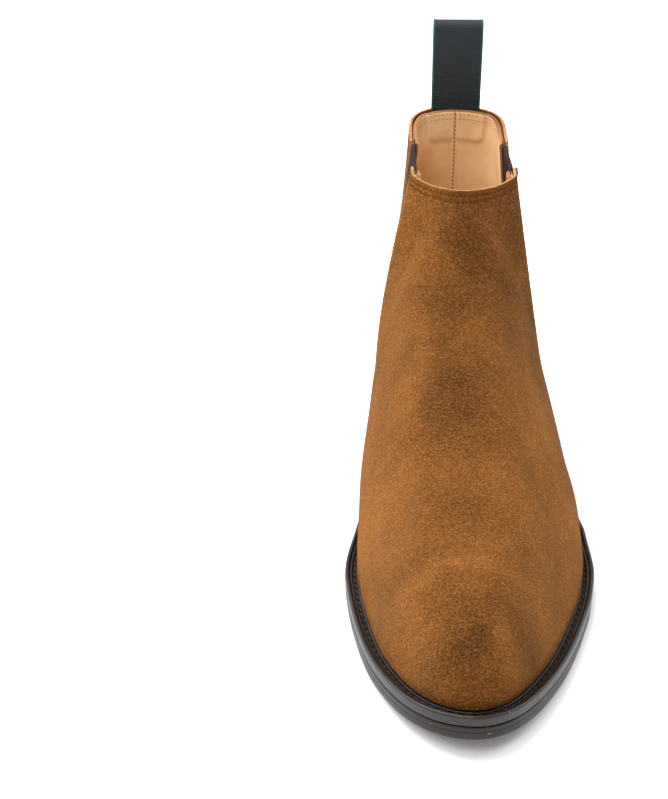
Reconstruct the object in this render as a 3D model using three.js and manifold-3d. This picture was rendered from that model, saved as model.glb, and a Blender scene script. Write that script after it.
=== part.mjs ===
// Chelsea boot for the left foot, size EU 42, built up the way a welted boot is made.
// Millimetres, +Z up. The toe points along -Y, the inner (medial) side of the foot is -X.
// While it is being shaped, y runs back from the tip of the toe and x is measured from the
// line between the toe tip and the middle of the heel. The outer group moves the finished
// boot so that the origin is under the middle of its bounding box.

import * as THREE from 'three';
import { mergeVertices } from 'three/addons/utils/BufferGeometryUtils.js';
import Module from 'manifold-3d';

const wasm = await Module();
wasm.setup();

// ---------------------------------------------------------------- driving dimensions

const GAP = 0.3; // clearance between neighbouring pieces
const SEAM = 0.32; // half the clearance along a butted seam

// Sole unit, seen from above: half widths at distances back from the toe tip.
const LENGTH = 308;
const MEDIAL_REACH = 49.5; // widest points either side
const LATERAL_REACH = 58;
const MEDIAL_OUTLINE = [
  [0, 0], [6, 16.5], [15, 24.8], [28, 32], [48, 39.4], [68, 44], [93, 48], [111, MEDIAL_REACH],
  [145, 45.5], [185, 36], [218, 32.5], [255, 33.5], [285, 30.5], [300, 20], [LENGTH, 0],
];
const LATERAL_OUTLINE = [
  [0, 0], [6, 14], [17, 23.4], [29, 30.5], [47, 39], [72, 48], [98, 55.2], [120, LATERAL_REACH],
  [145, 57.6], [160, 54.5], [190, 49.5], [225, 41], [260, 37], [285, 33], [300, 22], [LENGTH, 0],
];

// Sole unit, seen from the side.
const TOE_SPRING = 7.7; // how far the toe stands off the floor
const TOE_SPRING_END = 85;
const WAIST_START = 135; // where the sole leaves the floor behind the ball
const HEEL_BREAST = 236; // front face of the heel
const HEEL_RISE = 23; // height of the sole's underside at the heel breast
const SEAT_RISE = 3; // further rise from the breast to the back of the heel
const SOLE_EDGE = 10; // outsole and welt together
const OUTSOLE = 5.9;
const TOP_PIECE = 6;
const LIFT = 5;
const HEEL_TAPER = 0.9; // each layer of the heel is smaller than the one above
const HEEL_INSET = 1.2;

// Welt: a strip all round, with a raised outer rim and a channel for its stitches.
const WELT_STANDOUT = 5.5; // how far the welt stands out past the upper
const WELT_INNER = 12;
const FILLER_INSET = WELT_INNER + 1;
const RIM_HEIGHT = 0.7;
const CHANNEL_INSET = 3.9;
const CHANNEL_WIDTH = 1.5;
const CHANNEL_DEPTH = 1.1;
const THREAD_RADIUS = 0.38;

// Upper: thicknesses, and depths of each layer below the outer face.
const SUEDE = 1.8;
const STIFFENER = 0.8; // also the elastic and the tab's sewn-in ends
const LINING = 1.1;
const STIFFENER_DEPTH = SUEDE + 0.45;
const LINING_DEPTH = STIFFENER_DEPTH + STIFFENER + 0.35;
const LASTING_MARGIN = 5; // turned in under the insole
const MARGIN_FLOOR = 0.45; // clearance between the margin and the welt
const STRIP = 1.4;

// Front profile of the upper: height of its ridge at distances back from the toe tip.
const RIDGE = [
  [5.5, 16.7], [7.5, 26.5], [12, 35.5], [20, 43], [32, 49], [60, 58], [100, 72], [140, 95.5],
  [160, 107.5], [175, 121.5], [188, 142], [195, 155.5], [198, 170], [201.5, 200], [207, 300],
];
// Back profile: distance of the heel curve from the toe tip at each height.
const HEEL_CURVE = [[30, 302], [58, 304.5], [100, 297.5], [165, 293.5]];
// The back is round at the heel and squarer at the topline: values at each height.
const HEEL_ROUNDING = [[30, 40], [100, 36], [165, 15]];
const HEEL_SHAPE = [[30, 2.2], [100, 2.3], [165, 3]];
const HEEL_SIDES_END = 262; // behind this the sides close in to the back of the heel
// Height of the topline, from the dip in front to the arch at the back.
const TOPLINE = [
  [190, 153.2], [198, 154.6], [209, 158.2], [216, 158.8], [245, 157.8], [280, 161.3], [294, 166.8],
];

// Shape of the sections: the walls run from the feather line to the leg opening.
const LEG_HALF_WIDTH = { medial: 25.6, lateral: 26.9 };
const WALL_POWER = { medial: 0.75, lateral: 0.8 };
const INSTEP_BULGE = { medial: 13.3, lateral: 6.9 };
const BULGE_LIFT = { medial: 0.64, lateral: 0.4 }; // below 1 the fullest place is lower
const BULGE_AT = 177;
const BULGE_SPREAD = 68;
const ARCH_POWER = 2;
const ARCH_SHAPE = 2.3;

// Seams, seen from the side: distance back from the toe tip at each height.
const GORE_BOTTOM = 64;
const SIDE_SEAM = [[20, 227], [GORE_BOTTOM, 224]];
const GORE_FRONT = [[GORE_BOTTOM, 224], [69, 219.5], [85, 216], [110, 215], [160, 216]];
const GORE_REAR = [[GORE_BOTTOM, 224], [69, 231], [85, 240], [110, 249], [160, 258]];
const COUNTER_FRONT = [[232, 0], [234, 36], [249, 62], [266, 88]]; // distance back, height
const COUNTER_TOP = 88;
const GORE_OVERLAP = 5;
const GORE_END = 58; // lower end of the elastic, below the seam
const PUFF_REAR = 60;

// Fittings.
const SHANK = { front: 150, rear: 258, width: 15, thickness: 1.5 };
const POCKET_ROOM = 5; // the pocket for the shank is open above it
const INSOLE = 2.6;
const SOCK = 1;
const INSOLE_INSET = 13.4;
const INSOLE_FLOOR = 4; // underside of the insole above the feather line
const NAIL_RADIUS = 1.1;
const NAIL_SUNK = 0.2; // its head lies just below the top of the insole
const DRILL = [5, 70]; // heights between which the nail holes run
const NAIL_SITES = [[-15, 258], [17, 258], [-13, 286], [15, 286]];
const TAB = { width: 24, height: 42, ply: 1.2, gap: 6, anchor: 21 };
const TAB_AXIS_Z = 170;
const TAB_AXIS_Y = 290.9;

// Mesh density.
const OUTLINE_STEPS = 64;
const PROFILE_ROWS = 13;

// ---------------------------------------------------------------- curves

// Smooth curve through a few points that never overshoots them.
function curveThrough(points, warp = (s) => s) {
  const at = points.map(([s]) => warp(s));
  const value = points.map(([, w]) => w);
  const last = at.length - 1;
  const step = at.slice(1).map((s, i) => s - at[i]);
  const rise = step.map((h, i) => (value[i + 1] - value[i]) / h);
  const slope = value.map((_, i) => {
    if (i === 0) return rise[0];
    if (i === last) return rise[last - 1];
    if (rise[i - 1] * rise[i] <= 0) return 0;
    const before = 2 * step[i] + step[i - 1];
    const after = step[i] + 2 * step[i - 1];
    return (before + after) / (before / rise[i - 1] + after / rise[i]);
  });
  return (where) => {
    const s = THREE.MathUtils.clamp(warp(where), at[0], at[last]);
    let i = 0;
    while (i < last - 1 && s > at[i + 1]) i += 1;
    const h = step[i];
    const t = (s - at[i]) / h;
    const a = value[i] * (1 + 2 * t) * (1 - t) ** 2 + slope[i] * h * t * (1 - t) ** 2;
    const b = value[i + 1] * t * t * (3 - 2 * t) + slope[i + 1] * h * t * t * (t - 1);
    return a + b;
  };
}

const clamp = THREE.MathUtils.clamp;
const spread = (from, to, count) =>
  Array.from({ length: count + 1 }, (_, i) => from + ((to - from) * i) / count);
const AXIS = {
  x: new THREE.Vector3(1, 0, 0),
  y: new THREE.Vector3(0, 1, 0),
  z: new THREE.Vector3(0, 0, 1),
};
const roundEnds = (y) => Math.acos(clamp(1 - (2 * y) / LENGTH, -1, 1));
const outlineWidth = {
  medial: curveThrough(MEDIAL_OUTLINE, roundEnds),
  lateral: curveThrough(LATERAL_OUTLINE, roundEnds),
};
const ridgeHeight = curveThrough(RIDGE);
const heelCurve = curveThrough(HEEL_CURVE);
const heelRounding = curveThrough(HEEL_ROUNDING);
const heelShape = curveThrough(HEEL_SHAPE);
const toplineHeight = curveThrough(TOPLINE);
const sideSeam = curveThrough(SIDE_SEAM);
const goreFront = curveThrough(GORE_FRONT);
const goreRear = curveThrough(GORE_REAR);
const vampRear = (z) => (z < GORE_BOTTOM ? sideSeam(z) : goreFront(z));
const quarterFront = (z) => (z < GORE_BOTTOM ? sideSeam(z) : goreRear(z));

function soleBottom(y) {
  const spring = TOE_SPRING * Math.max(0, 1 - y / TOE_SPRING_END) ** 2;
  const climb = THREE.MathUtils.smoothstep(y, WAIST_START, HEEL_BREAST);
  const seat = clamp((y - HEEL_BREAST) / (LENGTH - HEEL_BREAST), 0, 1);
  return spring + HEEL_RISE * climb + SEAT_RISE * seat;
}
const featherLine = (y) => soleBottom(y) + SOLE_EDGE;
const aboveFeather = (height) => (y) => featherLine(y) + height;
const aboveSole = (height) => (y) => soleBottom(y) + height;

// ---------------------------------------------------------------- solids from rings and grids

// Closed solid from points and triangles, turned so that its faces point out.
function solid(points, triangles) {
  const geometry = new THREE.BufferGeometry();
  const places = points.flatMap((p) => p.toArray());
  geometry.setAttribute('position', new THREE.Float32BufferAttribute(places, 3));
  let volume = 0;
  for (const [a, b, c] of triangles) {
    volume += points[a].dot(new THREE.Vector3().crossVectors(points[b], points[c]));
  }
  const facing = volume < 0 ? triangles.map(([a, b, c]) => [a, c, b]) : triangles;
  geometry.setIndex(facing.flat());
  return geometry;
}

const quad = (a, b, c, d) => [[a, b, c], [a, c, d]];

// Sheet of even thickness between two grids of points, closed along its four edges.
function sheetBetween(outer, inner) {
  const rows = outer.length;
  const cols = outer[0].length;
  const points = [...outer.flat(), ...inner.flat()];
  const at = (layer, r, c) => layer * rows * cols + r * cols + c;
  const triangles = [];
  for (let r = 0; r < rows - 1; r += 1) {
    for (let c = 0; c < cols - 1; c += 1) {
      triangles.push(...quad(at(0, r, c), at(0, r, c + 1), at(0, r + 1, c + 1), at(0, r + 1, c)));
      triangles.push(...quad(at(1, r, c), at(1, r + 1, c), at(1, r + 1, c + 1), at(1, r, c + 1)));
    }
    triangles.push(...quad(at(0, r, 0), at(0, r + 1, 0), at(1, r + 1, 0), at(1, r, 0)));
    const e = cols - 1;
    triangles.push(...quad(at(0, r, e), at(1, r, e), at(1, r + 1, e), at(0, r + 1, e)));
  }
  for (let c = 0; c < cols - 1; c += 1) {
    const e = rows - 1;
    triangles.push(...quad(at(0, 0, c), at(1, 0, c), at(1, 0, c + 1), at(0, 0, c + 1)));
    triangles.push(...quad(at(0, e, c), at(0, e, c + 1), at(1, e, c + 1), at(1, e, c)));
  }
  return solid(points, triangles);
}

// Rings of points stacked bottom to top, with flat strips across the first and last ring.
function stack(rings) {
  const n = rings[0].length;
  const points = rings.flat();
  const triangles = [];
  for (let k = 0; k < rings.length - 1; k += 1) {
    for (let i = 0; i < n; i += 1) {
      const j = (i + 1) % n;
      triangles.push(...quad(k * n + i, k * n + j, (k + 1) * n + j, (k + 1) * n + i));
    }
  }
  const cap = (start, flip) => {
    const strip = [[start, start + 1, start + n - 1]];
    for (let i = 1; i < n / 2 - 1; i += 1) {
      strip.push(...quad(start + i, start + i + 1, start + n - i - 1, start + n - i));
    }
    strip.push([start + n / 2 - 1, start + n / 2, start + n / 2 + 1]);
    return flip ? strip.map(([a, b, c]) => [a, c, b]) : strip;
  };
  triangles.push(...cap(0, true), ...cap((rings.length - 1) * n, false));
  return solid(points, triangles);
}

// Closed loop of sections, each a closed polygon with the same number of corners.
function loop(sections) {
  const n = sections.length;
  const m = sections[0].length;
  const triangles = [];
  for (let i = 0; i < n; i += 1) {
    for (let k = 0; k < m; k += 1) {
      const j = (i + 1) % n;
      const l = (k + 1) % m;
      triangles.push(...quad(i * m + k, j * m + k, j * m + l, i * m + l));
    }
  }
  return solid(sections.flat(), triangles);
}

// Solid between two level outlines with the same number of points.
function prism(lower, upper) {
  const n = lower.length;
  const flat = lower.map((p) => new THREE.Vector2(p.x, p.y));
  if (THREE.ShapeUtils.isClockWise(flat)) return prism([...lower].reverse(), [...upper].reverse());
  const faces = THREE.ShapeUtils.triangulateShape(flat, []);
  const triangles = faces.map(([a, b, c]) => [a, c, b]);
  triangles.push(...faces.map(([a, b, c]) => [a + n, b + n, c + n]));
  for (let i = 0; i < n; i += 1) {
    const j = (i + 1) % n;
    triangles.push(...quad(i, j, j + n, i + n));
  }
  return solid([...lower, ...upper], triangles);
}

function toManifold(geometry) {
  const bare = geometry.clone();
  bare.deleteAttribute('normal');
  bare.deleteAttribute('uv');
  const merged = mergeVertices(bare, 1e-4);
  return new wasm.Manifold(new wasm.Mesh({
    numProp: 3,
    vertProperties: new Float32Array(merged.attributes.position.array),
    triVerts: new Uint32Array(merged.index.array),
  }));
}

function fromManifold(body) {
  const mesh = body.getMesh();
  const geometry = new THREE.BufferGeometry();
  geometry.setAttribute('position', new THREE.BufferAttribute(new Float32Array(mesh.vertProperties), 3));
  geometry.setIndex(new THREE.BufferAttribute(new Uint32Array(mesh.triVerts), 1));
  return geometry;
}

function cut(geometry, tools) {
  return fromManifold(tools.reduce((body, tool) => body.subtract(toManifold(tool)), toManifold(geometry)));
}

// ---------------------------------------------------------------- sole outline

// Point of the outline at turn t (toe 0, heel half a turn), moved inwards by inset.
function outlinePoint(t, inset = 0) {
  const place = (turn) => {
    const y = (LENGTH * (1 - Math.cos(turn))) / 2;
    const medial = Math.sin(turn) >= 0;
    return new THREE.Vector2(medial ? -outlineWidth.medial(y) : outlineWidth.lateral(y), y);
  };
  const along = place(t + 0.01).sub(place(t - 0.01)).normalize();
  return place(t).addScaledVector(new THREE.Vector2(along.y, -along.x), inset);
}

function outlineRing(inset, height) {
  return Array.from({ length: OUTLINE_STEPS }, (_, i) => {
    const p = outlinePoint((2 * Math.PI * i) / OUTLINE_STEPS, inset);
    return new THREE.Vector3(p.x, p.y, height(p.y));
  });
}

// ---------------------------------------------------------------- shape of the last

const sideOf = (phi) => (phi < 0 ? 'medial' : 'lateral');

// Distance along the sole's outline that goes with a distance along the feather line.
const outlineDistance = (y) => ((y - WELT_STANDOUT) * LENGTH) / (LENGTH - 2 * WELT_STANDOUT);

// Half width of the feather line, which follows the sole's outline at an even distance.
function featherCurve(turnSign) {
  const edge = spread(0, Math.PI, 240).map((t) => outlinePoint(turnSign * t, WELT_STANDOUT));
  return (y) => {
    const i = edge.findIndex((p, k) => k > 0 && p.y >= y);
    if (i < 0) return 0;
    const share = clamp((y - edge[i - 1].y) / (edge[i].y - edge[i - 1].y), 0, 1);
    return Math.abs(THREE.MathUtils.lerp(edge[i - 1].x, edge[i].x, share));
  };
}
const featherWidth = { medial: featherCurve(1), lateral: featherCurve(-1) };

// Half width of the upper's outer face at a distance y and height z.
function halfWidth(side, y, z) {
  const feather = featherWidth[side](Math.min(y, HEEL_SIDES_END));
  const floor = featherLine(y);
  const v = clamp((z - floor) / (toplineHeight(y) - floor), 0, 1);
  const nearness = Math.exp(-(((y - BULGE_AT) / BULGE_SPREAD) ** 2));
  const bulge = INSTEP_BULGE[side] * Math.sin(Math.PI * v ** BULGE_LIFT[side]) * nearness;
  const lean = v ** WALL_POWER[side];
  const wall = feather * (1 - lean) + LEG_HALF_WIDTH[side] * lean + bulge;
  const up = clamp((z - floor) / Math.max(ridgeHeight(y) - floor, 0.01), 0, 1);
  const arch = (1 - up ** ARCH_POWER) ** (1 / ARCH_SHAPE);
  const rear = clamp((y - heelCurve(z)) / heelRounding(z) + 1, 0, 1);
  return wall * arch * Math.sqrt(1 - rear ** heelShape(z));
}

const levelAt = (v, y) => featherLine(y) + v * (toplineHeight(y) - featherLine(y));

function bisect(test, low, high) {
  for (let i = 0; i < 40; i += 1) {
    const middle = (low + high) / 2;
    if (test(middle)) high = middle;
    else low = middle;
  }
  return (low + high) / 2;
}

// Where the ring at level v meets the ridge in front and the heel curve behind.
const ends = new Map();
function ringEnds(v) {
  if (!ends.has(v)) {
    const front = bisect((y) => ridgeHeight(y) > levelAt(v, y), WELT_STANDOUT, 210);
    const back = bisect((y) => y > heelCurve(levelAt(v, y)), 250, LENGTH);
    ends.set(v, [v === 0 ? WELT_STANDOUT : front, back]);
  }
  return ends.get(v);
}

// Point of the outer face: phi 0 is the front, half a turn either way is the back.
function facePoint(phi, v) {
  const [front, back] = ringEnds(v);
  const y = front + ((back - front) * (1 - Math.cos(phi))) / 2;
  const z = levelAt(v, y);
  const side = sideOf(Math.sin(phi));
  return new THREE.Vector3(Math.sign(Math.sin(phi)) * halfWidth(side, y, z), y, z);
}

// The same point moved inwards along the surface normal.
function skin(phi, v, depth) {
  const around = facePoint(phi + 0.02, v).sub(facePoint(phi - 0.02, v));
  const upwards = facePoint(phi, Math.min(v + 0.01, 1)).sub(facePoint(phi, Math.max(v - 0.01, 0)));
  const outward = around.cross(upwards).normalize();
  return facePoint(phi, v).addScaledVector(outward, -depth);
}

// Turn phi at which the ring at level v crosses a seam given by distance against height.
function seamTurn(v, seam, shift = 0) {
  const [front, back] = ringEnds(v);
  let y = seam(levelAt(v, 220)) + shift;
  for (let i = 0; i < 4; i += 1) y = seam(levelAt(v, y)) + shift;
  return Math.acos(clamp(1 - (2 * (y - front)) / (back - front), -1, 1));
}

// Levels spaced evenly along the front profile from the toe to the topline.
function evenLevels(count) {
  const samples = Array.from({ length: 201 }, (_, i) => i / 200);
  const front = samples.map((v) => facePoint(0, v));
  const travelled = [0];
  for (let i = 1; i < front.length; i += 1) {
    travelled.push(travelled[i - 1] + front[i].distanceTo(front[i - 1]));
  }
  const total = travelled[travelled.length - 1];
  return Array.from({ length: count + 1 }, (_, k) => {
    const goal = (total * k) / count;
    const i = travelled.findIndex((s) => s >= goal - 1e-9);
    return samples[i];
  });
}
const FIRST_LEVEL = 0.03; // just above the lasting margin
const QUARTER_LEVEL = 0.005; // lower edge of the quarters, on the welt
const LEVELS = [0, FIRST_LEVEL, ...evenLevels(PROFILE_ROWS).slice(1)];

// Level of the ring that reaches a height at a distance y.
const levelOfHeight = (z, y) => clamp((z - featherLine(y)) / (toplineHeight(y) - featherLine(y)), 0, 1);

// Layer of the upper between two depths, over levels and a range of turns for each level.
function layer(levels, range, columns, depth, thickness) {
  const grid = (d) => levels.map((v) => {
    const [from, to] = range(v);
    return spread(from, to, columns).map((phi) => skin(phi, v, d));
  });
  return [grid(depth), grid(depth + thickness)];
}

// Adds the lasting margin: the lower edge turned inwards, lying level under the insole.
function withMargin([outer, inner], floor, thickness, inset) {
  const turned = (edge, height) => edge.map((p) => {
    const q = outlinePoint(roundEnds(outlineDistance(p.y)) * (p.x < 0 ? 1 : -1), inset);
    return new THREE.Vector3(q.x, q.y, featherLine(q.y) + height);
  });
  const lift = (edge, height) => edge.map((p) => new THREE.Vector3(p.x, p.y, featherLine(p.y) + height));
  const outerRows = [turned(outer[0], floor), lift(outer[0], floor), ...outer.slice(1)];
  const roof = floor + thickness;
  const innerRows = [turned(outer[0], roof), lift(inner[0], roof), ...inner.slice(1)];
  return [outerRows, innerRows];
}

// ---------------------------------------------------------------- sole unit

function outsole() {
  const body = stack([
    outlineRing(1.2, aboveSole(0)),
    outlineRing(0.2, aboveSole(0.9)),
    outlineRing(0.2, aboveSole(OUTSOLE)),
  ]);
  return drilled(body);
}

function welt() {
  const low = OUTSOLE + GAP - SOLE_EDGE;
  const seat = -GAP;
  const profile = [
    [0, low], [0, RIM_HEIGHT - 0.5], [0.5, RIM_HEIGHT], [1.5, RIM_HEIGHT], [2.1, seat],
    [CHANNEL_INSET - CHANNEL_WIDTH / 2, seat], [CHANNEL_INSET - CHANNEL_WIDTH / 2, seat - CHANNEL_DEPTH],
    [CHANNEL_INSET + CHANNEL_WIDTH / 2, seat - CHANNEL_DEPTH], [CHANNEL_INSET + CHANNEL_WIDTH / 2, seat],
    [WELT_INNER, seat], [WELT_INNER, low],
  ];
  return loop(weltSections(profile));
}

function weltSections(profile) {
  const rings = profile.map(([inset, height]) => outlineRing(inset, aboveFeather(height)));
  return rings[0].map((_, i) => rings.map((ring) => ring[i]));
}

function weltThread() {
  const sides = 5;
  const centre = -GAP - CHANNEL_DEPTH / 2 - 0.05;
  const profile = Array.from({ length: sides }, (_, k) => {
    const a = (2 * Math.PI * k) / sides;
    return [CHANNEL_INSET + THREAD_RADIUS * Math.cos(a), centre + THREAD_RADIUS * Math.sin(a)];
  });
  return loop(weltSections(profile));
}

function bottomFiller() {
  const body = stack([
    outlineRing(FILLER_INSET, aboveFeather(OUTSOLE + GAP - SOLE_EDGE)),
    outlineRing(FILLER_INSET, aboveFeather(INSOLE_FLOOR - GAP)),
  ]);
  return cut(drilled(body), [shankBar(GAP, SHANK.thickness + POCKET_ROOM)]);
}

// Steel bar along the waist, following the curve of the sole.
function shankBar(clearance, thickness) {
  const half = SHANK.width / 2 + clearance;
  const top = INSOLE_FLOOR - 2 * GAP;
  const stations = spread(SHANK.front - clearance, SHANK.rear + clearance, 10);
  const low = top - SHANK.thickness - clearance;
  const ring = (x, height) => stations.map((y) => new THREE.Vector3(x, y, featherLine(y) + height));
  const raise = low + thickness + clearance;
  return sheetBetween([ring(-half, low), ring(half, low)], [ring(-half, raise), ring(half, raise)]);
}

function insoleBoard() {
  const body = stack([
    outlineRing(INSOLE_INSET, aboveFeather(INSOLE_FLOOR)),
    outlineRing(INSOLE_INSET, aboveFeather(INSOLE_FLOOR + INSOLE)),
  ]);
  return drilled(body);
}

function sockLiner() {
  const low = INSOLE_FLOOR + INSOLE + GAP;
  return stack([
    outlineRing(INSOLE_INSET + 1, aboveFeather(low)),
    outlineRing(INSOLE_INSET + 1, aboveFeather(low + SOCK)),
  ]);
}

// ---------------------------------------------------------------- heel

function heelRing(inset, height) {
  const start = roundEnds(HEEL_BREAST);
  return spread(start, 2 * Math.PI - start, 22).map((t) => {
    const p = outlinePoint(t, inset);
    return new THREE.Vector3(p.x, p.y, height(p.y));
  });
}

const level = (z) => () => z;
const layerFloor = (index) => TOP_PIECE + GAP + index * (LIFT + GAP);

function heelTopPiece() {
  const inset = HEEL_INSET + 3 * HEEL_TAPER;
  return prism(heelRing(inset + 0.4, level(0)), heelRing(inset, level(TOP_PIECE)));
}

// Lifts are counted down from the sole; the first is a wedge that meets the sloping seat.
function heelLift(number) {
  const inset = HEEL_INSET + (number - 1) * HEEL_TAPER;
  const floor = layerFloor(3 - number);
  const roof = number === 1 ? aboveSole(-GAP) : level(floor + LIFT);
  const body = prism(heelRing(inset + HEEL_TAPER, level(floor)), heelRing(inset, roof));
  return number === 3 ? body : drilled(body);
}

const NAIL_FOOT = layerFloor(1) + 1;
function nailRod([x, y], radius, low, high) {
  const rod = new THREE.CylinderGeometry(radius, radius, high - low, 8);
  return rod.rotateX(Math.PI / 2).translate(x, y, (low + high) / 2);
}
const drilled = (body) => cut(body, NAIL_SITES.map((site) => nailRod(site, NAIL_RADIUS + GAP, ...DRILL)));
const nailHead = (site) => featherLine(site[1]) + INSOLE_FLOOR + INSOLE - NAIL_SUNK;
const heelNail = (site) => nailRod(site, NAIL_RADIUS, NAIL_FOOT, nailHead(site));

// ---------------------------------------------------------------- upper

const VAMP_COLUMNS = 24;
const QUARTER_COLUMNS = 11;
const BACK_SEAM = 0.012; // turn between the middle of the back and each quarter's edge

const vampRange = (v) => {
  const edge = seamTurn(v, vampRear, -SEAM);
  return [-edge, edge];
};

function vamp() {
  const sheet = layer(LEVELS, vampRange, VAMP_COLUMNS, 0, SUEDE);
  return sheetBetween(...withMargin(sheet, MARGIN_FLOOR, SUEDE, WELT_STANDOUT + LASTING_MARGIN));
}

function vampLining() {
  const sheet = layer(LEVELS, vampRange, VAMP_COLUMNS, LINING_DEPTH, LINING);
  const reach = WELT_STANDOUT + LASTING_MARGIN;
  return sheetBetween(...withMargin(sheet, MARGIN_FLOOR + SUEDE + GAP, LINING, reach));
}

// Quarters run from the side seam or the elastic to the seam down the middle of the back.
function quarterPanel(sign, depth, thickness, lift) {
  const range = (v) => [sign * seamTurn(v, quarterFront, SEAM), sign * (Math.PI - BACK_SEAM)];
  const levels = [lift, ...LEVELS.filter((v) => v > lift)];
  return sheetBetween(...layer(levels, range, QUARTER_COLUMNS, depth, thickness));
}

const STRIP_TURN = 0.115;
function backStrip() {
  const turns = [-STRIP_TURN, -BACK_SEAM, BACK_SEAM, STRIP_TURN].map((turn) => Math.PI + turn);
  const grid = (depth) => LEVELS.slice(1).map((v) => turns.map((phi) => skin(phi, v, depth)));
  return sheetBetween(grid(-GAP - STRIP), grid(-GAP));
}

function gore(sign) {
  const bottom = levelOfHeight(GORE_END, 226);
  const range = (v) => [
    sign * seamTurn(v, vampRear, -GORE_OVERLAP),
    sign * seamTurn(v, quarterFront, GORE_OVERLAP),
  ];
  const levels = [bottom, ...LEVELS.filter((v) => v > bottom)];
  return sheetBetween(...layer(levels, range, 6, STIFFENER_DEPTH, STIFFENER));
}

// Extruded side view, wide enough to trim a piece across the whole boot.
function sideCutter(corners) {
  const half = 100;
  const side = (x) => corners.map(([y, z]) => new THREE.Vector3(y, z, x));
  const toBoot = new THREE.Matrix4().makeBasis(AXIS.y, AXIS.z, AXIS.x);
  return prism(side(-half), side(half)).applyMatrix4(toBoot);
}

function toePuff() {
  const levels = LEVELS.filter((v) => v > 0 && ringEnds(v)[0] < PUFF_REAR + 30);
  const sheet = sheetBetween(...layer(levels, vampRange, VAMP_COLUMNS, STIFFENER_DEPTH, STIFFENER));
  return cut(sheet, [sideCutter([[PUFF_REAR, 0], [LENGTH, 0], [LENGTH, 200], [PUFF_REAR, 200]])]);
}

function heelCounter() {
  const levels = LEVELS.filter((v) => v > 0 && levelAt(v, 290) < COUNTER_TOP + 20);
  const turns = (v) => {
    const half = spread(seamTurn(v, quarterFront, SEAM), Math.PI - BACK_SEAM, QUARTER_COLUMNS);
    return [...half, ...half.map((phi) => 2 * Math.PI - phi).reverse()];
  };
  const grid = (depth) => levels.map((v) => turns(v).map((phi) => skin(phi, v, depth)));
  const sheet = sheetBetween(grid(STIFFENER_DEPTH), grid(STIFFENER_DEPTH + STIFFENER));
  const above = [[LENGTH, 200], [150, 200], [150, 0], ...COUNTER_FRONT, [LENGTH, COUNTER_TOP]];
  return cut(sheet, [sideCutter(above)]);
}

// ---------------------------------------------------------------- pull tab

function tabAnchor() {
  const turn = 0.25;
  const bottom = levelOfHeight(toplineHeight(292) - TAB.anchor, 292);
  const range = () => [Math.PI - turn, Math.PI + turn];
  return sheetBetween(...layer(spread(bottom, 0.99, 2), range, 6, STIFFENER_DEPTH, STIFFENER));
}

// Loop of webbing: two plies that meet at the base and open to a finger's gap near the top.
function pullTab() {
  const foot = TAB.ply + 0.1;
  const half = TAB.gap / 2 + TAB.ply;
  const top = TAB.height - 2.6;
  const outside = new THREE.Shape();
  outside.moveTo(-foot, 0);
  outside.absarc(0, 0, foot, Math.PI, 2 * Math.PI, false);
  outside.bezierCurveTo(foot, top * 0.35, half, top * 0.4, half, top - half);
  outside.absarc(0, top - half, half, 0, Math.PI, false);
  outside.bezierCurveTo(-half, top * 0.4, -foot, top * 0.35, -foot, 0);
  const inside = new THREE.Path();
  const finger = TAB.gap / 2;
  inside.moveTo(0.12, 4);
  inside.bezierCurveTo(0.12, top * 0.38, finger, top * 0.42, finger, top - half);
  inside.absarc(0, top - half, finger, 0, Math.PI, false);
  inside.bezierCurveTo(-finger, top * 0.42, -0.12, top * 0.38, -0.12, 4);
  outside.holes.push(inside);
  const settings = { depth: TAB.width, bevelEnabled: false, curveSegments: 7 };
  const webbing = new THREE.ExtrudeGeometry(outside, settings);
  webbing.translate(0, 0, -TAB.width / 2);
  return webbing.applyMatrix4(new THREE.Matrix4().makeBasis(AXIS.y, AXIS.z, AXIS.x));
}

// ---------------------------------------------------------------- materials

const finish = (color, roughness, metalness = 0) => () =>
  new THREE.MeshStandardMaterial({ color, roughness, metalness });
const suede = finish(0xa7692f, 0.95);
const liningLeather = finish(0xd9aa80, 0.55);
const elastic = finish(0x2b1d18, 0.9);
const webbingCloth = finish(0x22252a, 0.8);
const soleRubber = finish(0x2f221d, 0.5);
const stackedLeather = finish(0x3a2417, 0.5);
const stiffenerBoard = finish(0xcdbb98, 0.8);
const insoleFibre = finish(0xb89468, 0.8);
const cork = finish(0x9a7346, 0.95);
const threadCloth = finish(0x8c6a4a, 0.8);
const steel = finish(0x8f959b, 0.35, 1);

// ---------------------------------------------------------------- assembly

const boot = new THREE.Group();
boot.position.set((MEDIAL_REACH - LATERAL_REACH) / 2, -LENGTH / 2, 0);

function place(name, geometry, material) {
  const mesh = new THREE.Mesh(geometry, material());
  mesh.name = name;
  boot.add(mesh);
  return mesh;
}

place('outsole', outsole(), soleRubber);
place('welt', welt(), soleRubber);
place('welt_thread', weltThread(), threadCloth);
place('bottom_filler', bottomFiller(), cork);
place('shank', shankBar(0, SHANK.thickness), steel);
place('insole_board', insoleBoard(), insoleFibre);
place('sock_liner', sockLiner(), liningLeather);
place('heel_top_piece', heelTopPiece(), soleRubber);
for (const number of [1, 2, 3]) place(`heel_lift_${number}`, heelLift(number), stackedLeather);
NAIL_SITES.forEach((site, i) => place(`heel_nail_${i + 1}`, heelNail(site), steel));

place('vamp', vamp(), suede);
place('toe_puff', toePuff(), stiffenerBoard);
place('vamp_lining', vampLining(), liningLeather);
for (const [side, sign] of [['medial', -1], ['lateral', 1]]) {
  place(`quarter_${side}`, quarterPanel(sign, 0, SUEDE, QUARTER_LEVEL), suede);
  const lining = quarterPanel(sign, LINING_DEPTH, LINING, FIRST_LEVEL);
  place(`quarter_lining_${side}`, lining, liningLeather);
  place(`gore_${side}`, gore(sign), elastic);
}
place('back_strip', backStrip(), suede);
place('heel_counter', heelCounter(), stiffenerBoard);
place('tab_anchor', tabAnchor(), webbingCloth);

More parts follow.
